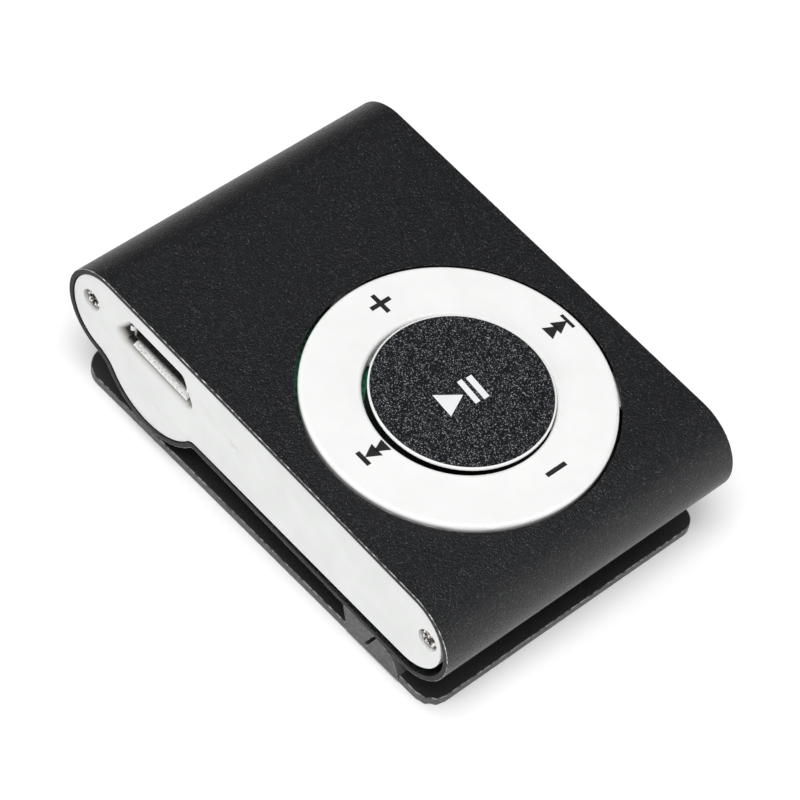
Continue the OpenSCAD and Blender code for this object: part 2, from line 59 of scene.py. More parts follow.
# Corners of a square, counter-clockwise
SQUARE = ((-1, -1), (1, -1), (1, 1), (-1, 1))

# Sleeve, as in the CAD
SLEEVE_H = 9.6
END_R = SLEEVE_H / 2
LEFT_X = -26.0
RIGHT_X = 12.8
HALF_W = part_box("outer_sleeve")[1][1] / MM
WALL = 0.5
BULGE = (-19.6, -6.1)
BULGE_R = 6.75
BLEND_LEFT = 3.0
BLEND_RIGHT = 0.7
HOLE_R = 13.8
SLEEVE_EDGE, HOLE_EDGE = 0.05, 0.06

# End caps; a screw is its x, z and the depth of its seat
CAP_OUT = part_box("far_end_cap")[1][1] / MM
CAP_T = 1.8
CAP_LEFT_R = 4.22
CAP_RIGHT = (12.75, -4.48)
CAP_RIGHT_R = 3.9
CAP_TAPER = 1.45
CAP_TOP = 0.58
CAP_EDGE, WELL_EDGE = 0.04, 0.07
SOCKET = (-19.2, -3.35)
SHELL_W, SHELL_H, SHELL_WALL = 3.75, 1.15, 0.25
SHELL_FRONT, SHELL_BACK = -15.7, -10.1
# Where along Y the socket's metal turns from bright to dark: a painted shadow of the mouth's top edge
SHADE_FROM, SHADE_TO = -15.9, -15.58
# Black patches on the floor of the socket's shell, painted shade in place of its latch windows: x from its
# middle, and y
NOTCH_SHADOWS = ((-1.9, -15.55), (-1.2, -15.6), (1.2, -15.6), (1.9, -15.55))
NOTCH_W, NOTCH_L = 0.14, 0.3
# Black block below the left end of the shell, painted shade of the gap at its corner: x, y and z, each from
# and to
CORNER_GAP_SHADOW = ((-23.1, -22.35), (-16.2, -15.7), (-4.5, -4.2))
SCREWS = ((-28.0, -4.3, 0.75), (14.95, -3.75, 0.7))
SCREW_R, SCREW_L, HEAD_R, HEAD_H = 0.7, 5.0, 0.95, 0.6
THREAD_PITCH = 0.3
CROSS_L, CROSS_W, CROSS_DEPTH = 1.5, 0.36, 0.45
SCREW_WELL_R = 1.05
THREAD_GAP = 0.12
INDICATOR = (-9.1, -4.6)
DIMPLE_R, DIMPLE_DEPTH = 0.62, 0.24
MOUTH_ROUNDING = 0.95
JACK, JACK_R = (-19.6, -6.9), 2.9
CARD, CARD_HALF = (-6.5, -4.1), (5.8, 0.75)
SWITCH, SWITCH_HALF = (6.8, -4.3), (2.6, 0.8)
SLOT_CORNER = 0.25

# Where along the row's X the board is painted black, and the radius of that black round the play dome:
# painted shadow where the board shows through the gaps
BOARD_SHADOW_FROM = 4.0
BOARD_SHADOW_R = 7.75

# Play button
PLAY_AT = (0.12, 0.12)
PLAY_TOP = 0.75
DISC_R = 7.78
DISC_T = 0.25
DISC_EDGE = 0.06

# Printed symbols: the faces they lie on, how far they sink in and stand out, and their middles
RING_TOP = 0.3
INK_SUNK, INK_PROUD = 0.01, 0.02
PLUS_AT, MINUS_AT = (-10.95, 0.82), (10.5, 1.27)
SIGN_HALF, SIGN_THICK = 1.08, 0.22

# Clip, in the row's frame
CLIP_L, CLIP_W, CLIP_T = 45.9, 31.4, 0.9
PIN_X, PIN_Z, PIN_R = 13.7, 2.05, 0.6
CLIP_EDGE, EAR_EDGE, FLANGE_EDGE = 0.09, 0.05, 0.06
JAW_CORNER, HINGE_CORNER = 2.5, 1.75
EAR_OUT = CLIP_W / 2 + 0.15
EAR_TOP, EAR_BASE, EAR_RIGHT = 3.15, 0.3, PIN_X + 5.35
SLOT_TILT, SLOT_W = 24.6, 0.3
FLANGE_T, FLANGE_L = 0.7, 1.6
PIN_GAP, PIN_BLIND = 0.05, 0.6
RIB_DEPTH, RIB_COUNT, RIB_STEPS = 0.35, 5, 9
# How deep and how far along the clip's edge its near hinge corner is worn
WEAR_DEPTH, WEAR_REACH = 0.22, 1.8

# Camera: azimuth, elevation and roll in degrees; lens and sensor, distance and sideways move in millimetres
CAMERA_ANGLES = (37.98, 52.55, 13.0)
CAMERA_LENS, SENSOR_W = 159.7545, 36
CAMERA_DISTANCE = 294.75
CAMERA_ASIDE = (-4.91845, -0.40185)

# Stage
LIGHT_DISTANCE = 0.9
FLOOR_GAP = 0.02


# ---------- outlines ----------

def arc(centre, radius, start, end, step=3.0):
    """Points on a circle from the angle start to end, in degrees."""
    count = max(2, int(abs(end - start) / step) + 1)
    angles = [math.radians(start + (end - start) * i / count) for i in range(count + 1)]
    return [(centre[0] + radius * math.cos(a), centre[1] + radius * math.sin(a)) for a in angles]


def circle(centre, radius, count):
    """A full circle as a closed loop."""
    angles = [2 * math.pi * i / count for i in range(count)]
    return [(centre[0] + radius * math.cos(a), centre[1] + radius * math.sin(a)) for a in angles]


def heading(a, b):
    """Angle of the direction from a to b, in degrees."""
    return math.degrees(math.atan2(b[1] - a[1], b[0] - a[0]))


def meet(c1, r1, c2, r2, side):
    """A point where two circles cross."""
    c1, c2 = Vector(c1), Vector(c2)
    d = (c2 - c1).length
    a = (r1 * r1 - r2 * r2 + d * d) / (2 * d)
    u = (c2 - c1) / d
    p = c1 + a * u + side * math.sqrt(r1 * r1 - a * a) * Vector((-u[1], u[0]))
    return (p[0], p[1])


def sleeve_loop(inset=0.0):
    """Outline of the sleeve, counter-clockwise, moved inwards by inset."""
    left_end = (LEFT_X, -END_R)
    left = meet(left_end, END_R + BLEND_LEFT, BULGE, BULGE_R + BLEND_LEFT, -1)
    drop = SLEEVE_H + BLEND_RIGHT
    reach = BULGE_R + BLEND_RIGHT
    right = (math.sqrt(reach ** 2 - (drop + BULGE[1]) ** 2) + BULGE[0], -drop)
    r = END_R - inset
    points = arc(left_end, r, 90, heading(left_end, left) % 360)
    points += arc(left, BLEND_LEFT + inset, heading(left, left_end), heading(left, BULGE))[1:]
    points += arc(BULGE, BULGE_R - inset, heading(BULGE, left) % 360, heading(BULGE, right) % 360)[1:]
    points += arc(right, BLEND_RIGHT + inset, heading(right, BULGE), 90)[1:]
    points += arc((RIGHT_X, -END_R), r, -90, 90)
    return points


def cap_loop(inset=0.0):
    """Outline of the end caps, counter-clockwise: level on top, its underside rising to the hinge end."""
    taper = math.radians(CAP_TAPER)
    left_end = (LEFT_X, -END_R)
    left = meet(left_end, END_R + BLEND_LEFT, BULGE, BULGE_R + BLEND_LEFT, -1)
    bulge_r = BULGE_R - CAP_TOP - inset
    low = Vector(CAP_RIGHT) + (CAP_RIGHT_R - inset) * Vector((math.sin(taper), -math.cos(taper)))
    blend = BLEND_RIGHT + CAP_TOP + inset
    base = low + blend * Vector((math.sin(taper), -math.cos(taper))) - Vector(BULGE)
    along = Vector((math.cos(taper), math.sin(taper)))
    half = base.dot(along)
    shift = -half + math.sqrt(half * half - base.dot(base) + (bulge_r + blend) ** 2)
    right = Vector(BULGE) + base + shift * along
    right = (right[0], right[1])
    points = arc(left_end, CAP_LEFT_R - inset, 90, heading(left_end, left) % 360)
    left_blend = BLEND_LEFT + END_R - CAP_LEFT_R + inset
    points += arc(left, left_blend, heading(left, left_end), heading(left, BULGE))[1:]
    points += arc(BULGE, bulge_r, heading(BULGE, left) % 360, heading(BULGE, right) % 360)[1:]
    points += arc(right, blend, heading(right, BULGE), 90 + CAP_TAPER)[1:]
    points += arc(CAP_RIGHT, CAP_RIGHT_R - inset, -90 + CAP_TAPER, 90)
    return points


def corner_loop(corners, radius, step=15.0):
    """A polygon, counter-clockwise, with its corners rounded."""
    points = []
    for i, corner in enumerate(corners):
        here = Vector(corner)
        before = (Vector(corners[i - 1]) - here).normalized()
        after = (Vector(corners[(i + 1) % len(corners)]) - here).normalized()
        turn = before.angle(after)
        r = radius[i] if isinstance(radius, (list, tuple)) else radius
        back = r / math.tan(turn / 2)
        centre = here + (before + after).normalized() * (r / math.sin(turn / 2))
        start = here + before * back
        end = here + after * back
        a0 = heading(centre, start)
        a1 = heading(centre, end)
        sweep = (a1 - a0 + 180) % 360 - 180
        points += arc(centre, r, a0, a0 + sweep, step)
    return points


def rectangle(x0, x1, y0, y1):
    return [(x0, y0), (x1, y0), (x1, y1), (x0, y1)]


def offset_loop(loop, distance):
    """Moves a counter-clockwise loop inwards by distance; a negative distance moves it outwards."""
    moved = []
    for i, point in enumerate(loop):
        here = Vector(point)
        back = (here - Vector(loop[i - 1])).normalized()
        on = (Vector(loop[(i + 1) % len(loop)]) - here).normalized()
        n1 = Vector((-back[1], back[0]))
        n2 = Vector((-on[1], on[0]))
        moved.append(tuple(here + (n1 + n2) * (distance / max(0.3, 1 + n1.dot(n2)))))
    return moved


# ---------- mesh building ----------

def along_y(u, v, w):
    """Puts a point of an outline in X and Z, at w along Y."""
    return Vector((u, w, v))


def along_z(u, v, w):
    """Puts a point of an outline in X and Y, at the height w."""
    return Vector((u, v, w))


def bridge(bm, rings, material=0):
    """Quads between neighbouring rings of vertices."""
    for a, b in zip(rings, rings[1:]):
        for i in range(len(a)):
            j = (i + 1) % len(a)
            face = bm.faces.new((a[i], a[j], b[j], b[i]))
            face.material_index = material


def ring_of(bm, loop, w, lift):
    """The loop's points as vertices at w, placed by lift."""
    return [bm.verts.new(lift(u, v, w)) for u, v in loop]


def fill(bm, rings, material=0):
    """Triangles that fill the first ring, with the others as holes."""
    triangles = geometry.tessellate_polygon([[v.co for v in ring] for ring in rings])
    flat = [v for ring in rings for v in ring]
    for a, b, c in triangles:
        face = bm.faces.new((flat[a], flat[b], flat[c]))
        face.material_index = material


def slab(bm, outer, holes, low, high, edge, lift, wall=0, rim=0, face=0, steps=3, hole_rim=0):
    """Closed plate from low to high with rounded edges; outer and holes are counter-clockwise loops."""
    starts, ends = [], []
    for k, loop in enumerate([outer] + list(holes)):
        side = 1 if k == 0 else -1
        edge_material = rim if k == 0 else hole_rim
        lower, upper = [], []
        for i in range(steps + 1):
            turn = math.radians(90 * i / steps)
            shape = offset_loop(loop, side * edge * (1 - math.sin(turn)))
            depth = edge * (1 - math.cos(turn))
            lower.append(ring_of(bm, shape, low + depth, lift))
            upper.append(ring_of(bm, shape, high - depth, lift))
        bridge(bm, lower, material=edge_material)
        bridge(bm, upper, material=edge_material)
        bridge(bm, [lower[-1], upper[-1]], material=wall)
        starts.append(lower[0])
        ends.append(upper[0])
    fill(bm, starts, face)
    fill(bm, ends, face)


def lathe(bm, profile, count, centre=(0, 0)):
    """Turns a (radius, height) profile round a vertical axis; a radius of 0 closes it."""
    rings = []
    for r, z in profile:
        if r == 0:
            rings.append([bm.verts.new((centre[0], centre[1], z))])
        else:
            rings.append([
                bm.verts.new((centre[0] + r * math.cos(2 * math.pi * i / count),
                              centre[1] + r * math.sin(2 * math.pi * i / count), z))
                for i in range(count)
            ])
    for a, b in zip(rings, rings[1:]):
        for i in range(count):
            j = (i + 1) % count
            if len(a) == 1:
                bm.faces.new((a[0], b[j], b[i]))
            elif len(b) == 1:
                bm.faces.new((a[i], a[j], b[0]))
            else:
                bm.faces.new((a[i], a[j], b[j], b[i]))


def finish_mesh(obj, angle=40):
    """Smooth shading with sharp corners, and flat faces that stay flat."""
    mesh = obj.data
    mesh.shade_smooth()
    mesh.set_sharp_from_angle(angle=math.radians(angle))
    normals = obj.modifiers.new("flat_faces", "WEIGHTED_NORMAL")
    normals.keep_sharp = True


def piece(name, bm, body, materials, nodes=(), place=TO_ROW, angle=40):
    """Makes an object of the mesh, in the row's frame, that rides on a body and stands for CAD nodes."""
    bmesh.ops.remove_doubles(bm, verts=bm.verts, dist=1e-4)
    bmesh.ops.recalc_face_normals(bm, faces=bm.faces)
    mesh = bpy.data.meshes.new(name)
    bm.to_mesh(mesh)
    bm.free()
    mesh.transform(place)
    for material in materials:
        mesh.materials.append(material)
    obj = bpy.data.objects.new(name, mesh)
    bpy.context.scene.collection.objects.link(obj)
    finish_mesh(obj, angle)
    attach(obj, body)
    if nodes:
        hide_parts(*nodes)
    return obj


# ---------- materials ----------

# Sockets of a colour Mix node: its two colours and its result
MIX_A, MIX_B, MIX_OUT = 6, 7, 2


def new_material(name, colour, roughness, metallic=0.0, **sockets):
    """A principled material; further sockets by their names, with _ for a space."""
    material = bpy.data.materials.new(name)
    material.use_nodes = True
    shader = material.node_tree.nodes["Principled BSDF"]
    shader.inputs["Base Color"].default_value = (*colour, 1)
    shader.inputs["Roughness"].default_value = roughness
    shader.inputs["Metallic"].default_value = metallic
    for key, value in sockets.items():
        shader.inputs[key.replace("_", " ")].default_value = value
    return material


def node(material, kind, **values):
    """Adds a node and sets its properties, or its sockets by their names."""
    made = material.node_tree.nodes.new(kind)
    for key, value in values.items():
        if hasattr(made, key):
            setattr(made, key, value)
        else:
            made.inputs[key.replace("_", " ")].default_value = value
    return made


def link(material, a, b):
    """Feeds the socket b from the socket a, or sets it to a number or a colour."""
    if isinstance(a, (int, float)):
        b.default_value = a
    elif isinstance(a, tuple):
        b.default_value = (*a, 1)
    else:
        material.node_tree.links.new(a, b)


def shader_of(material):
    return material.node_tree.nodes["Principled BSDF"]


def set_base(material, colour):
    link(material, colour, shader_of(material).inputs["Base Color"])


def object_axes(material):
    """The X, Y and Z sockets of the place on the object, in metres."""
    where = node(material, "ShaderNodeTexCoord")
    split = node(material, "ShaderNodeSeparateXYZ")
    link(material, where.outputs["Object"], split.inputs["Vector"])
    return split.outputs


def calculate(material, operation, a, b):
    """A Math node's result."""
    made = node(material, "ShaderNodeMath", operation=operation)
    link(material, a, made.inputs[0])
    link(material, b, made.inputs[1])
    return made.outputs[0]


def map_range(material, source, low, high, to_low=0.0, to_high=1.0):
    """Rescales a socket's values from low..high to to_low..to_high, clamped."""
    made = node(material, "ShaderNodeMapRange", clamp=True)
    for name, value in (("From Min", low), ("From Max", high), ("To Min", to_low), ("To Max", to_high)):
        made.inputs[name].default_value = value
    link(material, source, made.inputs["Value"])
    return made.outputs["Result"]


def mix_base(material, factor, a, b):
    """Gives the material a mix of two colours, each a socket or a plain colour."""
    mix = node(material, "ShaderNodeMix", data_type="RGBA")
    link(material, factor, mix.inputs["Factor"])
    link(material, a, mix.inputs[MIX_A])
    link(material, b, mix.inputs[MIX_B])
    set_base(material, mix.outputs[MIX_OUT])


def noise(material, grain, detail=3.0, roughness=0.6, stretch=None):
    """Noise whose features are grain millimetres across."""
    where = node(material, "ShaderNodeTexCoord")
    out = where.outputs["Object"]
    if stretch:
        mapping = node(material, "ShaderNodeMapping")
        mapping.inputs["Scale"].default_value = stretch
        link(material, out, mapping.inputs["Vector"])
        out = mapping.outputs["Vector"]
    made = node(material, "ShaderNodeTexNoise", Scale=1 / (grain * MM), Detail=detail, Roughness=roughness)
    link(material, out, made.inputs["Vector"])
    return made.outputs["Fac"]


def ramp(material, source, stops):
    """Colours along a ramp of (position, colour) stops, picked by the source."""
    made = node(material, "ShaderNodeValToRGB")
    elements = made.color_ramp.elements
    while len(elements) < len(stops):
        elements.new(0.5)
    for element, (position, colour) in zip(elements, stops):
        element.position = position
        element.color = (*colour, 1)
    link(material, source, made.inputs["Fac"])
    return made.outputs["Color"]


def grey(value):
    return (value, value, value)


def add_bump(material, source, height, distance):
    """Bump of that strength; distance is in millimetres."""
    bump = node(material, "ShaderNodeBump", Strength=height, Distance=distance * MM)
    link(material, source, bump.inputs["Height"])
    link(material, bump.outputs["Normal"], shader_of(material).inputs["Normal"])


def vary_roughness(material, grain, low, high, stretch=None):
    rough = map_range(material, noise(material, grain, stretch=stretch), 0.3, 0.7, low, high)
    link(material, rough, shader_of(material).inputs["Roughness"])


def vary_colour(material, grain, dark, light, detail=3.0, stretch=None):
    """Mottles the material between two colours, and returns the colours' socket."""
    colours = ramp(material, noise(material, grain, detail, stretch=stretch), [(0.35, dark), (0.65, light)])
    set_base(material, colours)
    return colours


def add_flakes(material, size, share, colour, base, power=2.0):
    """Small flakes over a base colour: cells of that size, that share of them lit, and few of them fully."""
    where = node(material, "ShaderNodeTexCoord")
    cells = node(material, "ShaderNodeTexVoronoi", Scale=1 / (size * MM))
    link(material, where.outputs["Object"], cells.inputs["Vector"])
    split = node(material, "ShaderNodeSeparateColor")
    link(material, cells.outputs["Color"], split.inputs["Color"])
    chosen = map_range(material, split.outputs[0], 1 - share, 1.0)
    graded = calculate(material, "POWER", chosen, power)
    core = ramp(material, cells.outputs["Distance"], [(0.3, grey(1.0)), (0.6, grey(0.0))])
    mix_base(material, calculate(material, "MULTIPLY", graded, core), base, colour)


def satin_black(name, dark, light, roughness, flake_share=0.25, fleck=0.13, grain=0.2, bump=1.0,
                shine=0.5):
    """Satin black coat with a leathery fine grain and flecks, most of them faint."""
    made = new_material(name, dark, roughness, Specular_IOR_Level=shine)
    base = vary_colour(made, grain * 0.6, dark, light)
    add_flakes(made, 0.09, flake_share, grey(fleck), base, power=4.0)
    vary_roughness(made, grain, roughness - 0.05, roughness + 0.07)
    add_bump(made, noise(made, grain, 2, roughness=0.7), bump, 0.11)
    return made


def moulded(name, dark, light, roughness, grain=0.25, bump=0.12, **sockets):
    """Moulded plastic: nearly even colour, fine texture and a slow waviness."""
    made = new_material(name, light, roughness, **sockets)
    vary_colour(made, grain * 12, dark, light)
    vary_roughness(made, grain * 3, roughness - 0.04, roughness + 0.04)
    add_bump(made, noise(made, grain, 2), bump, 0.004)
    return made


def metal(name, colour, roughness, grain=0.3, stretch=(1, 1, 1), bump=0.2):
    """Sheet or turned metal with fine scratches."""
    made = new_material(name, colour, roughness, metallic=1.0)
    dark = tuple(c * 0.72 for c in colour)
    vary_colour(made, grain, dark, colour, stretch=stretch)
    vary_roughness(made, grain, roughness - 0.06, roughness + 0.1, stretch=stretch)
    add_bump(made, noise(made, grain, 4, stretch=stretch), bump, 0.004)
    return made


def nickel_plate():
    """Dull nickel plate, mottled with dark spots and near-white ones."""
    made = new_material("nickel_plate", (0.5, 0.49, 0.47), 0.3, metallic=0.85)
    source = noise(made, 0.25, 4)
    set_base(made, ramp(made, source, [(0.45, (0.02, 0.014, 0.012)), (0.5, (0.3, 0.27, 0.24)),
                                       (0.57, (0.98, 0.96, 0.93))]))
    add_bump(made, source, 0.9, 0.05)
    return made


def board_painted_shadow(material):
    """1 where the board is painted black as shadow: towards the hinge end and round the play dome."""
    axes = object_axes(material)
    shadow_at_hinge_end = map_range(material, axes["X"], BOARD_SHADOW_FROM * MM, (BOARD_SHADOW_FROM + 1) * MM)
    flat = node(material, "ShaderNodeCombineXYZ")
    link(material, axes["X"], flat.inputs["X"])
    link(material, axes["Y"], flat.inputs["Y"])
    reach = node(material, "ShaderNodeVectorMath", operation="DISTANCE")
    link(material, flat.outputs["Vector"], reach.inputs[0])
    reach.inputs[1].default_value = (RING_OFFSET * MM, 0, 0)
    shadow_round_dome = calculate(material, "LESS_THAN", reach.outputs["Value"], BOARD_SHADOW_R * MM)
    return calculate(material, "MAXIMUM", shadow_at_hinge_end, shadow_round_dome)


def board_material():
    """Green solder mask with faint copper tracks under it, painted black as shadow on part of it."""
    made = new_material("board_mask", (0.0, 0.16, 0.06), 0.3, Coat_Weight=0.3)
    where = node(made, "ShaderNodeTexCoord")
    tracks = node(made, "ShaderNodeTexBrick", Scale=1 / (2.4 * MM), Mortar_Size=0.06)
    link(made, (0.01, 0.12, 0.05), tracks.inputs["Color1"])
    link(made, (0.015, 0.17, 0.07), tracks.inputs["Color2"])
    link(made, (0.05, 0.3, 0.15), tracks.inputs["Mortar"])
    link(made, where.outputs["Object"], tracks.inputs["Vector"])
    # the near-black colour is painted shadow on the board
    mix_base(made, board_painted_shadow(made), tracks.outputs["Color"], (0.004, 0.008, 0.006))
    add_bump(made, tracks.outputs["Fac"], 0.2, 0.01)
    return made


def make_materials():
    """Every finish, by the record's material slot."""
    return {
        "black_shell": satin_black("sleeve_coat", (0.0012, 0.0016, 0.0026), (0.0038, 0.0045, 0.0065), 0.34,
                                   fleck=0.17, shine=0.36),
        # the caps' white is darker than the ring's: painted shade for the lesser light on their end faces
        "white_plastic": moulded("cap_white_painted_shade", (0.67, 0.68, 0.67), (0.71, 0.72, 0.71), 0.5),
        "white_control": moulded("ring_plastic", (0.92, 0.925, 0.915), (0.95, 0.955, 0.945), 0.5, bump=0.06,
                                 Specular_IOR_Level=0.2),
        "screw_steel": nickel_plate(),
        "shell_steel": shell_steel(),
        "contact_gold": metal("gold_flash", (0.83, 0.62, 0.26), 0.25, 0.1),
        "black_plastic": moulded("socket_plastic", grey(0.012), grey(0.02), 0.42),
        "frame_plastic": moulded("frame_moulding", (0.62, 0.62, 0.6), (0.68, 0.68, 0.66), 0.5),
        "board_green": board_material(),
        "chip_black": moulded("chip_epoxy", grey(0.014), grey(0.022), 0.55, 0.1, 0.4),
        "ceramic_chip": moulded("chip_ceramic", (0.09, 0.07, 0.055), (0.13, 0.1, 0.08), 0.35),
        "led_clear": moulded("led_resin", (0.75, 0.78, 0.8), (0.82, 0.85, 0.88), 0.15),
        "cell_foil": metal("cell_foil", (0.7, 0.7, 0.71), 0.35, 1.5, bump=0.5),
        "foam": moulded("foam_pad", (0.5, 0.5, 0.45), (0.62, 0.62, 0.56), 0.9, 0.2, 1.0),
        "lead_red": moulded("lead_sleeving", (0.42, 0.02, 0.02), (0.5, 0.03, 0.03), 0.4),
        "spring_steel": metal("spring_steel", (0.56, 0.56, 0.57), 0.3, 0.15, (1, 8, 1)),
        "disc_black": disc_material(),
        "bracket_black": satin_black("bracket_coat", grey(0.012), grey(0.02), 0.45, flake_share=0.04,
                                     bump=0.4),
        "rivet_steel": metal("rivet_steel", (0.45, 0.45, 0.45), 0.35, 0.2),
        "clip_black": satin_black("clip_coat", grey(0.024), grey(0.036), 0.45, flake_share=0.04, bump=0.4),
        "grip_rubber": moulded("grip_rubber", grey(0.012), grey(0.02), 0.75, 0.15, 0.5),
    }


def disc_material():
    """Black metallic lacquer with dense fine flakes."""
    made = new_material("disc_lacquer", grey(0.012), 0.35, Specular_IOR_Level=0.2)
    base = vary_colour(made, 0.12, (0.002, 0.0025, 0.0035), (0.009, 0.01, 0.013))
    add_flakes(made, 0.085, 0.7, (0.6, 0.61, 0.64), base, power=3.6)
    add_bump(made, noise(made, 0.12, 3), 0.4, 0.008)
    return made


def shell_steel():
    """Tinned steel of the socket: pale and speckled at the mouth, and painted dark further in as the shadow
    of the mouth's top edge.
    """
    made = new_material("tinned_sheet_painted_shadow", (0.8, 0.8, 0.78), 0.4, metallic=0.25)
    source = noise(made, 0.16, 4)
    pale = ramp(made, source, [(0.3, grey(0.12)), (0.4, grey(0.66)), (0.6, (0.9, 0.9, 0.88))])
    deep = ramp(made, source, [(0.35, grey(0.03)), (0.7, grey(0.11))])
    # mask of the painted shadow deeper in the socket
    inside = map_range(made, object_axes(made)["Y"], SHADE_FROM * MM, SHADE_TO * MM)
    mix_base(made, inside, pale, deep)
    add_bump(made, source, 0.3, 0.01)
    return made


def scoop_painted_shade():
    """Cap plastic in the scooped mouth: greyer the further its face turns from the cap's own, a painted
    shade of the recess.
    """
    made = new_material("scoop_painted_shade", grey(0.6), 0.5)
    where = node(made, "ShaderNodeNewGeometry")
    split = node(made, "ShaderNodeSeparateXYZ")
    link(made, where.outputs["Normal"], split.inputs["Vector"])
    turned = calculate(made, "ADD", split.outputs["Y"], 1.0)
    set_base(made, ramp(made, turned, [
        (0.0, (0.69, 0.70, 0.69)), (0.03, (0.64, 0.645, 0.63)), (0.13, (0.52, 0.515, 0.49)),
        (0.29, (0.35, 0.345, 0.325)), (0.6, (0.06, 0.058, 0.054))]))
    add_bump(made, noise(made, 0.25, 2), 0.12, 0.004)
    return made


def painted_edge_highlight(name, value, chip=0.85):
    """Rounded edge painted lighter than its coat, a painted highlight, with small bright chips."""
    made = new_material(name, grey(value), 0.42, metallic=0.3)
    set_base(made, ramp(made, noise(made, 0.5, 4), [
        (0.4, grey(value * 0.2)), (0.5, grey(value)), (0.58, grey(value * 2)), (0.64, grey(chip))]))
    add_bump(made, noise(made, 0.15, 3), 0.2, 0.005)
    return made


def satin_rim(name):
    """Coated cut face of the sleeve: dull, with a fine mottle."""
    made = new_material(name, grey(0.012), 0.6, Specular_IOR_Level=0.3)
    vary_colour(made, 0.3, grey(0.006), grey(0.022))
    add_bump(made, noise(made, 0.15, 3), 0.3, 0.006)
    return made


def clip_lit_side(name):
    """Blanked edges of the clip's sheet and the faces of its ears, thinly coated and painted lighter than
    the plate: painted light where they face the lamps.
    """
    made = new_material(name, grey(0.08), 0.45, Specular_IOR_Level=0.4)
    base = vary_colour(made, 0.4, grey(0.05), grey(0.095))
    add_flakes(made, 0.12, 0.04, grey(0.3), base)
    add_bump(made, noise(made, 0.2, 3), 0.35, 0.008)
    return made


# ---------- pieces ----------

def to_object(name, bm):
    """A plain object of the closed mesh, for use as a cutter."""
    bmesh.ops.recalc_face_normals(bm, faces=bm.faces)
    mesh = bpy.data.meshes.new(name)
    bm.to_mesh(mesh)
    bm.free()
    obj = bpy.data.objects.new(name, mesh)
    bpy.context.scene.collection.objects.link(obj)
    return obj


def cylinder_cutter(name, centre, radius, low, high, lift, count):
    """A plain round cutter for a boolean, from low to high."""
    bm = bmesh.new()
    ends = [ring_of(bm, circle(centre, radius, count), w, lift) for w in (low, high)]
    bridge(bm, ends)
    for end in ends:
        bm.faces.new(end)
    return to_object(name, bm)


def cut(bm, cutters):
    """Subtracts the cutters from a closed mesh and returns the result as a new bmesh."""
    obj = to_object("uncut", bm)
    for cutter in cutters:
        step = obj.modifiers.new(cutter.name, "BOOLEAN")
        step.operation = "DIFFERENCE"
        step.solver = "EXACT"
        step.object = cutter
    graph = bpy.context.evaluated_depsgraph_get()
    result = bpy.data.meshes.new_from_object(obj.evaluated_get(graph))
    made = bmesh.new()
    made.from_mesh(result)
    for spare in [obj] + list(cutters):
        bpy.data.objects.remove(spare, do_unlink=True)
    return made


def bevel_where(bm, test, width, material):
    """Rounds the sharp edges for which test is true of both ends."""
    edges = [e for e in bm.edges if len(e.link_faces) == 2 and test(e.verts[0].co) and test(e.verts[1].co)
             and e.calc_face_angle(0) > math.radians(30)]
    bmesh.ops.bevel(bm, geom=edges, offset=width, segments=2, profile=0.5, affect="EDGES",
                    material=material, clamp_overlap=True)


def make_sleeve(slots):
    """Extruded sleeve with lightly rounded cut ends and the hole for the ring."""
    bm = bmesh.new()
    slab(bm, sleeve_loop(), [sleeve_loop(WALL)], -HALF_W, HALF_W, SLEEVE_EDGE, along_y, rim=1, face=2,
         hole_rim=2)
    bm = cut(bm, [cylinder_cutter("hole_cutter", (0, 0), HOLE_R, -END_R, 1, along_z, 192)])

    def on_hole(v):
        return abs(math.hypot(v.x, v.y) - HOLE_R) < 0.01 and v.z > -WALL / 2

    bevel_where(bm, on_hole, HOLE_EDGE, material=1)
    # the sleeve's rounded edges are painted lighter, a painted highlight
    return piece("sleeve", bm, "player",
                 [slots["black_shell"], painted_edge_highlight("sleeve_edge_highlight", 0.25), satin_rim("sleeve_rim")],
                 ["outer_sleeve"])


def mouth_loop(grow=0.0):
    """Mouth of the socket: wide below, narrow above. As it grows it widens downwards and to the left."""
    top, shoulder, foot, bottom = 1.27, -0.85, -1.1, -1.5
    top_half, side_half, bottom_half = 3.35, 4.65, 4.2
    corners = [(-bottom_half, bottom), (bottom_half, bottom), (side_half, foot), (side_half, shoulder),
               (top_half, top), (-top_half, top), (-side_half, shoulder), (-side_half, foot)]
    loop = corner_loop(corners, [0.3, 0.3, 0.2, 0.3, 0.3, 0.5, 0.3, 0.2])
    outwards, aside = 0.55 * grow, 0.5 * grow
    return [(x + SOCKET[0] - aside, z + SOCKET[1] - aside) for x, z in offset_loop(loop, -outwards)]


def dish(bm, centre, radius, depth, lift, steps=5):
    """Shallow round hollow in a cap's face; returns its rim, to be used as a hole of that face."""
    rings = []
    for i in range(steps):
        t = i / steps
        rings.append(ring_of(bm, circle(centre, radius * (1 - t), 40),
                             -CAP_OUT + depth * math.sin(math.pi / 2 * t), lift))
    bridge(bm, rings)
    fill(bm, [rings[-1]])
    return rings[0]


def quarter(edge, steps):
    """Rounded edge as steps of (distance off the wall, depth under the face)."""
    turns = [math.radians(90 * i / steps) for i in range(steps + 1)]
    return [(edge * (1 - math.sin(a)), edge * (1 - math.cos(a))) for a in turns]


def well(bm, centre, seat, lift):
    """Stepped round hole through a cap: a well for the screw's head, then the screw's own hole."""
    hole_r = SCREW_R + THREAD_GAP
    shapes = [(SCREW_WELL_R + off, -CAP_OUT + depth) for off, depth in quarter(WELL_EDGE, 3)]
    shapes += [(SCREW_WELL_R, -CAP_OUT + seat), (hole_r, -CAP_OUT + seat), (hole_r, -CAP_OUT + CAP_T)]
    rings = [ring_of(bm, circle(centre, r, 56), w, lift) for r, w in shapes]
    bridge(bm, rings)
    return rings[0], rings[-1]


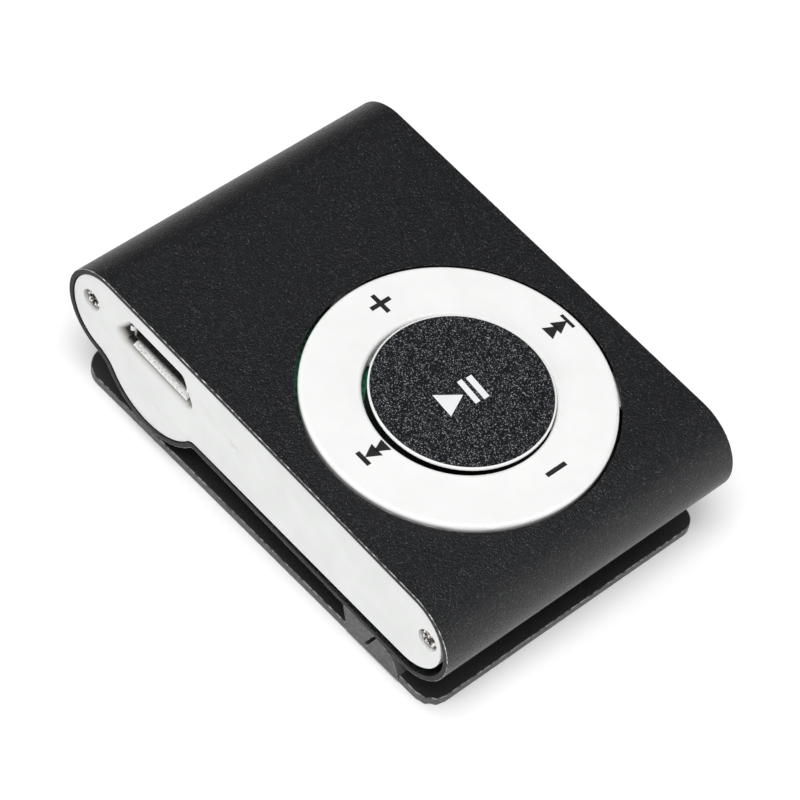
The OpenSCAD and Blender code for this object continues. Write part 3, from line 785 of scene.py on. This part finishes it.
def round_in(bm, shape, depth, lift, material):
    """Hole through a cap whose mouth is rounded over depth; shape(grow) gives its loop."""
    rings = [ring_of(bm, shape(off), -CAP_OUT + w, lift) for off, w in quarter(depth, 7)]
    rings.append(ring_of(bm, shape(0), -CAP_OUT + CAP_T, lift))
    bridge(bm, rings, material=material)
    return rings[0], rings[-1]


def cap_body(bm, lift, holes, dishes=(), mouth=0):
    """End cap with the two screw wells, the given (loop function, rounding) holes and round hollows."""
    outer = [ring_of(bm, cap_loop(off), -CAP_OUT + w, lift) for off, w in quarter(CAP_EDGE, 3)]
    outer.append(ring_of(bm, cap_loop(), -CAP_OUT + CAP_T, lift))
    bridge(bm, outer)
    through = [round_in(bm, shape, depth, lift, mouth) for shape, depth in holes]
    through += [well(bm, (x, z), seat, lift) for x, z, seat in SCREWS]
    fronts = [outer[0]] + [front for front, back in through]
    for centre, radius, depth in dishes:
        fronts.append(dish(bm, centre, radius, depth, lift))
    fill(bm, fronts)
    fill(bm, [outer[-1]] + [back for front, back in through])


def make_near_cap(slots):
    """White end cap: a scooped mouth for the socket, two screw wells and the indicator's dimple."""
    bm = bmesh.new()
    # the mouth's rounded faces get the scoop material, painted shade that darkens as they turn away
    cap_body(bm, along_y, [(mouth_loop, MOUTH_ROUNDING)], [(INDICATOR, DIMPLE_R, DIMPLE_DEPTH)], mouth=1)
    return piece("near_cap", bm, "player", [slots["white_plastic"], scoop_painted_shade()],
                 ["near_end_cap"])


def grown(loop):
    """The loop as a function of how far it grows."""
    return lambda grow: offset_loop(loop, -grow)


def slot_loop(centre, half):
    """Oblong slot with rounded corners."""
    corners = [(centre[0] + half[0] * x, centre[1] + half[1] * z) for x, z in SQUARE]
    return corner_loop(corners, SLOT_CORNER)


def far_side(u, v, w):
    """Puts a point of the far cap's outline in X and Z, mirrored to the other end."""
    return Vector((u, -w, v))


def make_far_cap(slots):
    """White end cap of the jack end: holes for the jack's nose, the memory card and the power knob."""
    bm = bmesh.new()
    jack = circle(JACK, JACK_R, 72)
    card, switch = slot_loop(CARD, CARD_HALF), slot_loop(SWITCH, SWITCH_HALF)
    cap_body(bm, far_side, [(grown(jack), 0.15), (grown(card), 0.3), (grown(switch), 0.2)])
    return piece("far_cap", bm, "player", [slots["white_plastic"]], ["far_end_cap"])


# ---------- socket ----------

def shell_loop(inset=0.0):
    """Outline of the socket's metal shell, moved inwards by inset."""
    w, h = SHELL_W, SHELL_H
    corners = [(-w, -h), (w, -h), (w, 0.3 * h), (0.72 * w, h), (-0.72 * w, h), (-w, 0.3 * h)]
    loop = offset_loop(corner_loop(corners, 0.35, 18), inset)
    return [(x + SOCKET[0], z + SOCKET[1]) for x, z in loop]


def flared_tab(bm, a, b, flare, reach=0.5, sheet=0.18, steps=5):
    """Bent tab at the shell's mouth between the corners a and b; it leans away to their right."""
    a, b = Vector(a), Vector(b)
    along = (b - a).normalized()
    out = Vector((along[1], -along[0]))
    root = SHELL_FRONT + 0.02
    length = root - (SHELL_FRONT - reach)
    rings = []
    for i in range(steps + 1):
        t = i / steps
        lean = flare * t * t
        corners = (a + out * lean, b + out * lean, b + out * (lean + sheet), a + out * (lean + sheet))
        loop = [(x + SOCKET[0], z + SOCKET[1]) for x, z in corners]
        rings.append(ring_of(bm, loop, root - length * t, along_y))
    bridge(bm, rings)
    bm.faces.new(rings[0])
    bm.faces.new(rings[-1])


def black_block(bm, x, y, z, edge):
    """Small black block, from and to along each axis."""
    slab(bm, rectangle(*x, *y), [], *z, edge, along_z, wall=1, rim=1, face=1, steps=1)


def make_usb_shell(slots):
    """Drawn metal shell of the socket, closed at the back, with three flared tabs at its mouth."""
    bm = bmesh.new()
    outside, inside = shell_loop(), shell_loop(SHELL_WALL)
    rings = [ring_of(bm, outside, SHELL_BACK, along_y), ring_of(bm, outside, SHELL_FRONT, along_y),
             ring_of(bm, inside, SHELL_FRONT, along_y),
             ring_of(bm, inside, SHELL_BACK - SHELL_WALL, along_y)]
    bridge(bm, rings)
    fill(bm, [rings[0]])
    fill(bm, [rings[-1]])
    w, h = SHELL_W - SHELL_WALL, SHELL_H - SHELL_WALL
    flared_tab(bm, (-w + 0.3, -h), (w + 0.4, -h - 0.1), flare=0.26)
    flared_tab(bm, (w + 0.05, -h + 0.4), (w + 0.05, 0.2 * h), flare=0.12)
    flared_tab(bm, (-w + 0.05, 0.75 * h), (-w + 0.05, 0.15 * h), flare=0.2, reach=0.45)
    # black block stands in for the dark gap at the shell's left corner, painted shade
    black_block(bm, *CORNER_GAP_SHADOW, 0.03)
    floor = SOCKET[1] - h
    # black patches stand in for the dark of the latch windows, painted shade
    for x, y in NOTCH_SHADOWS:
        left = SOCKET[0] + x - NOTCH_W / 2
        black_block(bm, (left, left + NOTCH_W), (y, y + NOTCH_L), (floor - 0.05, floor + 0.015), 0.01)
    return piece("usb_shell_flared", bm, "player",
                 [slots["shell_steel"], slots["black_plastic"]], ["usb_shell"])


# ---------- screws ----------

def cross_cutter(name, angle):
    """Tapered bar of the screw's cross recess, about the Y axis, turned by the angle in degrees."""
    tip_l, tip_w, above = 0.45, 0.8, 0.3
    bm = bmesh.new()
    mouth = [bm.verts.new((x * CROSS_L / 2, -HEAD_H - above, z * CROSS_W / 2)) for x, z in SQUARE]
    deep = [bm.verts.new((x * CROSS_L / 2 * tip_l, -HEAD_H + CROSS_DEPTH, z * CROSS_W / 2 * tip_w))
            for x, z in SQUARE]
    bridge(bm, [mouth, deep])
    bm.faces.new(mouth)
    bm.faces.new(deep)
    bmesh.ops.rotate(bm, verts=bm.verts, matrix=Matrix.Rotation(math.radians(angle), 3, "Y"))
    return to_object(name, bm)


def screw_mesh():
    """Cross-head screw along Y: the seat is at y = 0, the head reaches to -Y, the threads to +Y."""
    dome = [(0, 1), (0.35, 0.985), (0.6, 0.94), (0.8, 0.84), (0.93, 0.7), (1, 0.5), (1, 0)]
    profile = [(HEAD_R * r, -HEAD_H * z) for r, z in dome] + [(SCREW_R, 0)]
    for i in range(int(SCREW_L / THREAD_PITCH) - 1):
        profile += [(SCREW_R, THREAD_PITCH * (i + 0.2)), (SCREW_R * 0.8, THREAD_PITCH * (i + 0.7))]
    profile += [(SCREW_R * 0.7, SCREW_L - 0.15), (0, SCREW_L)]
    bm = bmesh.new()
    lathe(bm, profile, 40)
    bmesh.ops.rotate(bm, verts=bm.verts, matrix=Matrix.Rotation(math.radians(-90), 3, "X"))
    bm = cut(bm, [cross_cutter("cross_45", 45), cross_cutter("cross_135", 135)])
    mesh = bpy.data.meshes.new("screw")
    bm.to_mesh(mesh)
    bm.free()
    return mesh


def make_screws(name, side, node_name, mesh, slots):
    """The two screws of one end cap, side -1 or 1; their crosses are turned differently."""
    bm = bmesh.new()
    flip = Matrix.Rotation(math.radians(180 if side > 0 else 0), 4, "Z")
    for (x, z, seat), angle in zip(SCREWS, (17, 0)):
        copy = mesh.copy()
        turn = Matrix.Rotation(math.radians(angle), 4, "Y")
        copy.transform(Matrix.Translation((x, side * (CAP_OUT - seat), z)) @ flip @ turn)
        bm.from_mesh(copy)
    return piece(name, bm, "player", [slots["screw_steel"]], [node_name], angle=30)


# ---------- play button ----------

def make_disc(slots):
    """Lacquered disc of the play button, with a softly rounded edge."""
    low = PLAY_TOP - DISC_T
    profile = [(0, low), (DISC_R, low)]
    profile += [(DISC_R - depth, PLAY_TOP - off) for off, depth in quarter(DISC_EDGE, 4)]
    profile += [(DISC_R * 0.6, PLAY_TOP), (0, PLAY_TOP)]
    bm = bmesh.new()
    lathe(bm, profile, 180, PLAY_AT)
    return piece("play_disc_lacquered", bm, "play", [slots["disc_black"]], ["play_disc"])


# ---------- clip ----------

def clip_loop():
    """Outline of the clip's plate: larger corners at the jaw than at the hinge, and one of them worn."""
    half_l, half_w = CLIP_L / 2, CLIP_W / 2
    corners = [(half_l * x, half_w * y) for x, y in SQUARE]
    worn = Vector((half_l - 0.8, -half_w + 0.6))
    radii = [JAW_CORNER, HINGE_CORNER, HINGE_CORNER, JAW_CORNER]
    loop = []
    for i, point in enumerate(corner_loop(corners, radii, 5)):
        here = Vector(point)
        share = max(0.0, 1 - (here - worn).length / WEAR_REACH)
        depth = WEAR_DEPTH * share * (0.6 + 0.4 * math.sin(i * 0.9))
        loop.append(tuple(here - here.normalized() * depth))
    return loop


def ear_loop():
    """Outline of a hinge ear, with the slanted slot for the spring's tail."""
    tilt = math.radians(SLOT_TILT)
    along = Vector((math.sin(tilt), math.cos(tilt)))
    across = Vector((math.cos(tilt), -math.sin(tilt))) * SLOT_W / 2
    foot = Vector((PIN_X + 1.3, 0.95))
    top_left, top_right = Vector((PIN_X + 0.8, EAR_TOP)), Vector((PIN_X + 4.25, 2.7))
    slope = (top_right[1] - top_left[1]) / (top_right[0] - top_left[0])

    def on_top(start):
        """Where a side of the slot meets the ear's sloping top."""
        t = (top_left[1] + slope * (start[0] - top_left[0]) - start[1]) / (along[1] - slope * along[0])
        return start + along * t

    points = [(PIN_X - 1.1, EAR_BASE), (EAR_RIGHT, EAR_BASE), (EAR_RIGHT, CLIP_T), top_right,
              on_top(foot + across), foot + across, foot - across, on_top(foot - across), top_left,
              (PIN_X - 1.85, EAR_TOP), (PIN_X - 1.2, 1.2)]
    return [tuple(point) for point in points]


def ear_mesh(side):
    """Hinge ear at one side, -1 or 1, with its blind pin hole."""
    inner = EAR_OUT - CLIP_T
    low, high = sorted((side * inner, side * EAR_OUT))
    ear = bmesh.new()
    # the ear's faces and walls take the clip's lighter side finish, painted light
    slab(ear, ear_loop(), [], low, high, EAR_EDGE, along_y, wall=1, rim=2, face=1)
    reach = sorted((side * (inner - 1), side * (inner + PIN_BLIND)))
    ear = cut(ear, [cylinder_cutter("pin_cutter", (PIN_X, PIN_Z), PIN_R + PIN_GAP, *reach, along_y, 48)])
    mesh = bpy.data.meshes.new("ear")
    ear.to_mesh(mesh)
    ear.free()
    return mesh


def ear_flange(bm, side):
    """Short flange that turns inwards from the ear's outer end."""
    inner = EAR_OUT - CLIP_T
    low, high = sorted((side * (inner + 0.1), side * (inner - FLANGE_L)))
    left = EAR_RIGHT - FLANGE_T
    corners = [(left, 0.4), (EAR_RIGHT, 0.4), (EAR_RIGHT, 2.2), (left, 2.3)]
    slab(bm, corners, [], low, high, FLANGE_EDGE, along_y, rim=2)


def make_clip(slots):
    """Sheet-metal clip: the plate, its two hinge ears and their short flanges."""
    # the side finish is painted light and the edge finish a painted highlight
    finishes = [slots["clip_black"], clip_lit_side("clip_lit_side"), painted_edge_highlight("clip_edge_highlight", 0.13, 0.3)]
    bm = bmesh.new()
    slab(bm, clip_loop(), [], 0, CLIP_T, CLIP_EDGE, along_z, wall=1, rim=2)
    for side in (-1, 1):
        bm.from_mesh(ear_mesh(side))
        ear_flange(bm, side)
    return piece("clip_sheet", bm, "clip", finishes, ["clip_plate"], CLIP_TO_ROW)


def make_grip_pad(slots):
    """Rubber pad in the clip's jaw, with ribs across the jaw."""
    (x0, _, z0), (x1, y1, z1) = [[value / MM for value in corner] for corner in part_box("grip_pad")]
    pitch = (x1 - x0) / RIB_COUNT
    root = z1 - RIB_DEPTH
    top = []
    for i in range(RIB_COUNT * RIB_STEPS):
        t = i % RIB_STEPS / RIB_STEPS
        left = x0 + i // RIB_STEPS * pitch
        top.append((left + pitch * t, z1 - RIB_DEPTH * (1 - math.sin(math.pi * t)) ** 1.5))
    outline = [(x0, z0), (x1, z0), (x1, root)] + top[:0:-1] + [(x0, root)]
    bm = bmesh.new()
    slab(bm, outline, [], -y1, y1, 0.02, along_y, steps=1)
    return piece("grip_pad_ribbed", bm, "clip", [slots["grip_rubber"]], ["grip_pad"],
                 CLIP_TO_ROW)


# ---------- symbols ----------

def patch(bm, corners, top):
    """Thin printed patch: a polygon on a face at the height top."""
    slab(bm, corners, [], top - INK_SUNK, top + INK_PROUD, 0.012, along_z, steps=1)


def make_ring_icons(ink):
    """Plus, minus and the two track symbols, printed on the ring."""
    half, thick = SIGN_HALF, SIGN_THICK
    arm = [(thick, -thick), (half, -thick), (half, thick)]
    cross = []
    for quarter_turns in range(4):
        turn = Matrix.Rotation(math.radians(90 * quarter_turns), 2)
        cross += [tuple(turn @ Vector(point)) for point in arm]
    bm = bmesh.new()
    patch(bm, [(PLUS_AT[0] + x, PLUS_AT[1] + y) for x, y in cross], RING_TOP)
    x, y = MINUS_AT
    patch(bm, rectangle(x - thick, x + thick, y - half, y + half), RING_TOP)
    for y in (10.3, 11.25):
        patch(bm, [(-0.97, y), (0.47, y), (-0.25, y + 1.4)], RING_TOP)
    patch(bm, rectangle(-1.02, 0.6, 12.5, 12.83), RING_TOP)
    for y, x in ((-9.45, -0.45), (-8.5, -0.33)):
        patch(bm, [(0.25, y - 1.35), (0.98, y), (x, y)], RING_TOP)
    patch(bm, rectangle(-0.5, 1.03, -11.2, -10.75), RING_TOP)
    return piece("ring_symbols", bm, "ring", [ink])


def make_play_icon(ink):
    """Triangle and two bars, printed on the play button."""
    bm = bmesh.new()
    patch(bm, [(-0.98, -2.31), (1.58, -2.5), (0.51, -0.17)], PLAY_TOP)
    patch(bm, [(-0.78, 0.28), (1.82, 0.06), (1.82, 0.6), (-0.78, 0.81)], PLAY_TOP)
    patch(bm, [(-0.65, 1.17), (1.9, 0.97), (1.9, 1.56), (-0.65, 1.79)], PLAY_TOP)
    return piece("play_symbol", bm, "play", [ink])


# ---------- CAD nodes that stay ----------

def dress_nodes(slots):
    """Gives every CAD node that still shows its finish and slightly rounded edges."""
    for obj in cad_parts.values():
        for holder in obj.material_slots:
            holder.material = slots[holder.material.name.split(".")[0]]
        weld = obj.modifiers.new("weld", "WELD")
        weld.merge_threshold = 0.001 * MM
        bevel = obj.modifiers.new("soft_edges", "BEVEL")
        bevel.width = 0.05 * MM
        bevel.segments = 2
        bevel.limit_method = "ANGLE"
        bevel.angle_limit = math.radians(40)
        normals = obj.modifiers.new("flat_faces", "WEIGHTED_NORMAL")
        normals.keep_sharp = True


# ---------- stage ----------

def add_camera():
    """Camera at the reference view: it looks at the ring's centre, then moves aside in its own plane."""
    azimuth, elevation, roll = (math.radians(angle) for angle in CAMERA_ANGLES)
    back = Vector((math.sin(azimuth) * math.cos(elevation), -math.cos(azimuth) * math.cos(elevation),
                   math.sin(elevation)))
    right = Vector((math.cos(azimuth), math.sin(azimuth), 0))
    up = back.cross(right)
    x_axis = right * math.cos(roll) + up * math.sin(roll)
    y_axis = -right * math.sin(roll) + up * math.cos(roll)
    place = back * CAMERA_DISTANCE + x_axis * CAMERA_ASIDE[0] + y_axis * CAMERA_ASIDE[1]
    turn = TO_ROW.to_3x3().normalized()
    pose = Matrix((turn @ x_axis, turn @ y_axis, turn @ back)).transposed().to_4x4()
    pose.translation = TO_ROW @ place
    data = bpy.data.cameras.new("camera")
    data.sensor_width = SENSOR_W
    data.lens = CAMERA_LENS
    data.clip_start = 0.01
    data.clip_end = 20
    data.dof.use_dof = False
    camera = bpy.data.objects.new("camera", data)
    camera.matrix_world = pose
    bpy.context.scene.collection.objects.link(camera)
    bpy.context.scene.camera = camera


def add_softbox(name, direction, size, power):
    """Rectangular area light that faces the object from a direction."""
    data = bpy.data.lights.new(name, "AREA")
    data.shape = "RECTANGLE"
    data.size, data.size_y = size
    data.energy = power
    light = bpy.data.objects.new(name, data)
    towards = Vector(direction).normalized()
    light.location = towards * LIGHT_DISTANCE
    light.rotation_euler = towards.to_track_quat("Z", "Y").to_euler()
    bpy.context.scene.collection.objects.link(light)


def add_floor():
    """Pale paper floor, just under the clip."""
    bm = bmesh.new()
    bmesh.ops.create_grid(bm, x_segments=8, y_segments=8, size=3.0)
    mesh = bpy.data.meshes.new("floor")
    bm.to_mesh(mesh)
    bm.free()
    floor = bpy.data.objects.new("floor", mesh)
    floor.location = (0, 0, -FLOOR_GAP * MM)
    bpy.context.scene.collection.objects.link(floor)
    mesh.materials.append(new_material("floor_paper", grey(0.93), 0.9, Specular_IOR_Level=0.0,
                                       Emission_Color=(1, 1, 1, 1), Emission_Strength=0.2))


def add_lights():
    """Soft studio light: a large box overhead, a low one in front and a strip at the hinge end."""
    world = bpy.data.worlds.new("studio")
    bpy.context.scene.world = world
    world.use_nodes = True
    background = world.node_tree.nodes["Background"]
    background.inputs["Color"].default_value = (1, 1, 1, 1)
    background.inputs["Strength"].default_value = 0.24
    add_softbox("key", (0.15, -0.25, 1.0), (0.5, 0.5), 5.8)
    add_softbox("front", (-0.1, -0.95, 0.3), (0.6, 0.3), 2.6)
    add_softbox("side", (0.86, 0.49, 0.13), (0.5, 0.16), 1.6)
    bpy.context.scene.view_settings.view_transform = "Standard"


def main():
    slots = make_materials()
    add_camera()
    add_floor()
    add_lights()
    dress_nodes(slots)
    make_sleeve(slots)
    make_near_cap(slots)
    make_far_cap(slots)
    make_usb_shell(slots)
    screw = screw_mesh()
    make_screws("near_screws", -1, "near_cap_screws", screw, slots)
    make_screws("far_screws", 1, "far_cap_screws", screw, slots)
    make_disc(slots)
    make_clip(slots)
    make_grip_pad(slots)
    ink = moulded("symbol_ink", grey(0.008), grey(0.014), 0.45)
    white_ink = moulded("symbol_white", (0.86, 0.87, 0.88), (0.92, 0.93, 0.94), 0.5)
    make_ring_icons(ink)
    make_play_icon(white_ink)


main()
